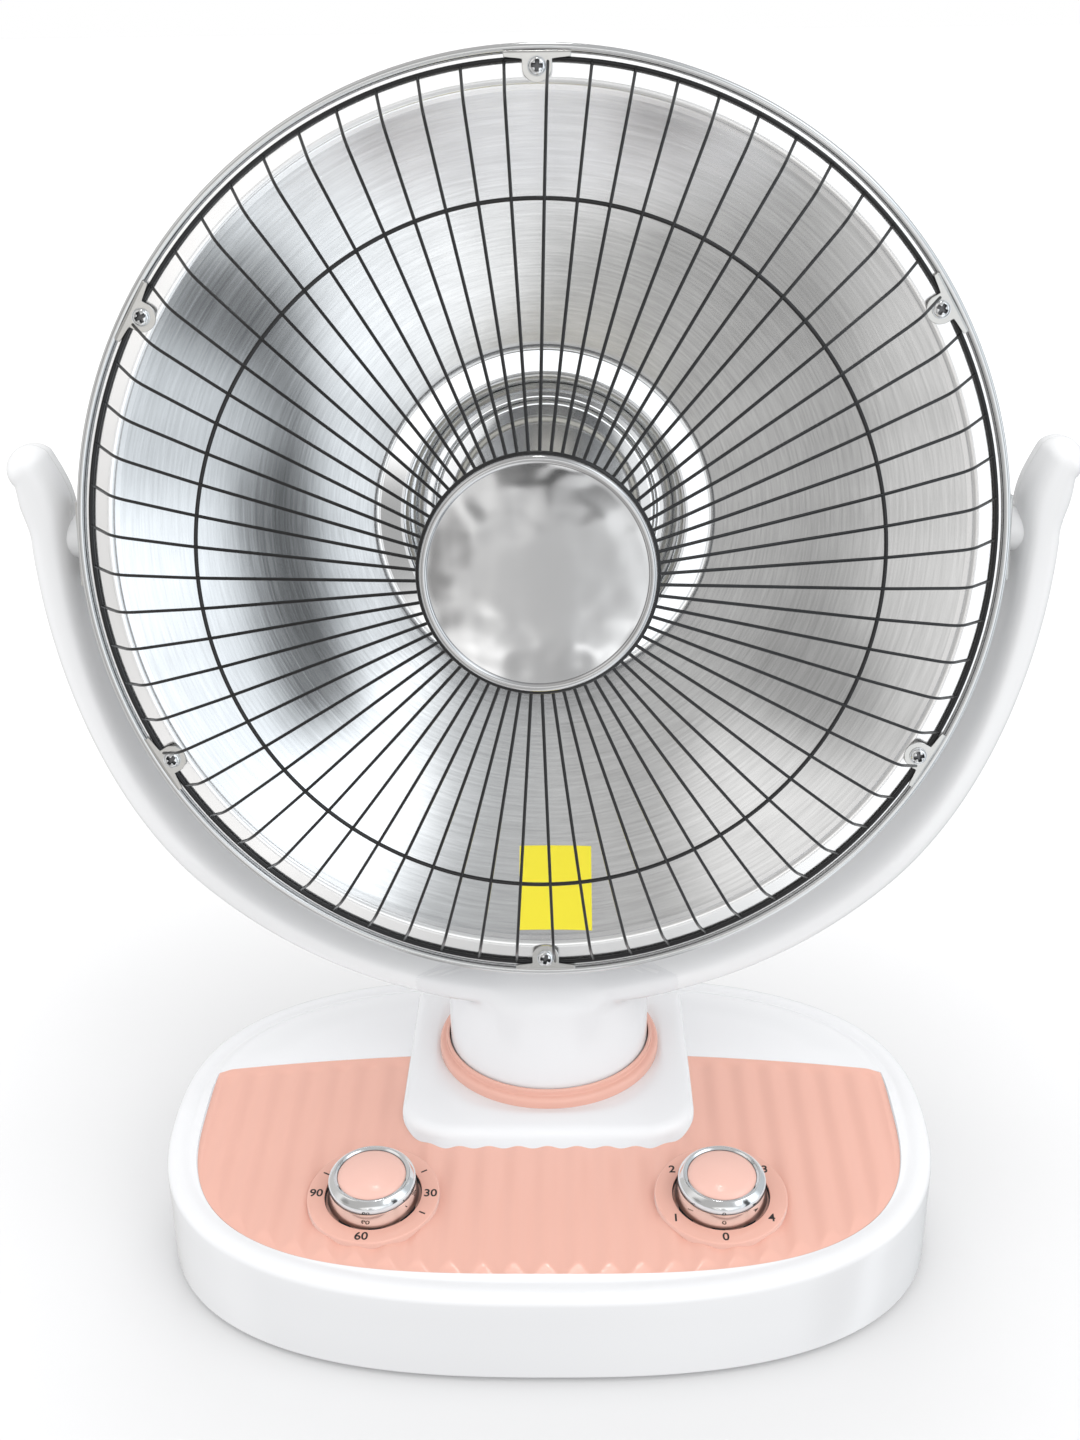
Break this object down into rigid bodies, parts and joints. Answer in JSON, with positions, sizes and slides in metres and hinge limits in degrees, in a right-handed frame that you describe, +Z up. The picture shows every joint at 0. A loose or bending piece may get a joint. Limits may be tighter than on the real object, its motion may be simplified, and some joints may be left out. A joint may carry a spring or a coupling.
{
  "type": "dish heater",
  "caption": "Radiant dish heater: a wire-guarded spun reflector tilts in a forked arm that swings on a domed base with two knobs.",
  "frame": {"origin": "on the floor under the middle of the heater's bounding box", "axes": "+Z up, -Y out of the front where the dish faces and the knobs are, +X to the right seen from the front"},
  "size_m": [0.474, 0.2768, 0.5392],
  "materials": {
    "white_plastic": "glossy white ABS",
    "salmon_plastic": "glossy salmon pink ABS",
    "spun_aluminium": "spun and finely brushed",
    "polished_steel": "polished pressed sheet",
    "dark_wire": "dark plated steel wire",
    "zinc_steel": "zinc plated",
    "chrome_trim": "chrome plated",
    "white_ceramic": "matt fired ceramic",
    "coil_alloy": "oxidised heating alloy",
    "black_rubber": "matt black",
    "grey_plastic": "moulded grey",
    "black_plastic": "moulded black"
  },
  "bodies": {
    "base": {"base_shell": "white_plastic", "bottom_plate": "white_plastic", "control_panel": "salmon_plastic", "apron_plate": "white_plastic", "neck_collar": "salmon_plastic", "swivel_bearing": "grey_plastic", "swing_motor": "zinc_steel", "tip_switch": "grey_plastic", "inlet_gland": "black_rubber", "foot_1": "black_rubber", "foot_2": "black_rubber", "foot_3": "black_rubber", "foot_4": "black_rubber", "timer_dial": "salmon_plastic", "selector_dial": "salmon_plastic", "timer_unit": "grey_plastic", "selector_unit": "grey_plastic"},
    "neck": {"arm_front_shell": "white_plastic", "arm_rear_shell": "white_plastic", "neck_column": "white_plastic", "swivel_post": "zinc_steel", "slotted_lever": "grey_plastic", "neck_screw_1": "zinc_steel", "neck_screw_2": "zinc_steel", "pivot_bolt_left": "zinc_steel", "pivot_bolt_right": "zinc_steel", "friction_washer_left": "black_plastic", "friction_washer_right": "black_plastic"},
    "head": {"reflector_bowl": "spun_aluminium", "guard_grille": "dark_wire", "guard_mid_ring": "dark_wire", "centre_disc": "polished_steel", "element_core": "white_ceramic", "heating_coil": "coil_alloy", "core_socket": "white_ceramic", "rear_cover": "white_plastic", "rear_cover_screw_1": "zinc_steel", "rear_cover_screw_2": "zinc_steel", "pivot_bracket_left": "zinc_steel", "pivot_bracket_right": "zinc_steel", "grille_clip_1": "zinc_steel", "grille_clip_2": "zinc_steel", "grille_clip_3": "zinc_steel", "grille_clip_4": "zinc_steel", "grille_clip_5": "zinc_steel", "grille_clip_6": "zinc_steel", "clip_screw_1": "zinc_steel", "clip_screw_2": "zinc_steel", "clip_screw_3": "zinc_steel", "clip_screw_4": "zinc_steel", "clip_screw_5": "zinc_steel", "clip_screw_6": "zinc_steel"},
    "timer_control": {"timer_knob": "salmon_plastic", "timer_knob_ring": "chrome_trim"},
    "selector_control": {"selector_knob": "salmon_plastic", "selector_knob_ring": "chrome_trim"},
    "swing_crank": {"crank": "black_plastic"},
    "tip_feeler": {"tip_plunger": "black_plastic"}
  },
  "joints": [
    {"name": "neck_swivel", "type": "hinge", "parent": "base", "child": "neck", "pos_m": [0, 0.02907, 0.065], "axis": [0, 0, 1], "range_deg": [-40, 40]},
    {"name": "dish_tilt", "type": "hinge", "parent": "neck", "child": "head", "pos_m": [0, 0.02907, 0.335], "axis": [-1, 0, 0], "range_deg": [-14, 16]},
    {"name": "crank_turn", "type": "hinge", "parent": "base", "child": "swing_crank", "pos_m": [0, 0.05507, 0.0274], "axis": [0, 0, 1], "range_deg": [-91, 91]},
    {"name": "timer_turn", "type": "hinge", "parent": "base", "child": "timer_control", "pos_m": [-0.0795, -0.07853, 0.05032], "axis": [0, -0.0847, 0.9964], "range_deg": [-300, 0]},
    {"name": "selector_turn", "type": "hinge", "parent": "base", "child": "selector_control", "pos_m": [0.0795, -0.07853, 0.05032], "axis": [0, -0.0847, 0.9964], "range_deg": [-120, 0]},
    {"name": "tip_plunger_slide", "type": "slide", "parent": "base", "child": "tip_feeler", "axis": [0, 0, 1], "range_m": [-0.005, 0]}
  ],
  "couplings": [
    {"joint": "crank_turn", "follows": "neck_swivel", "ratio": 2.25}
  ]
}
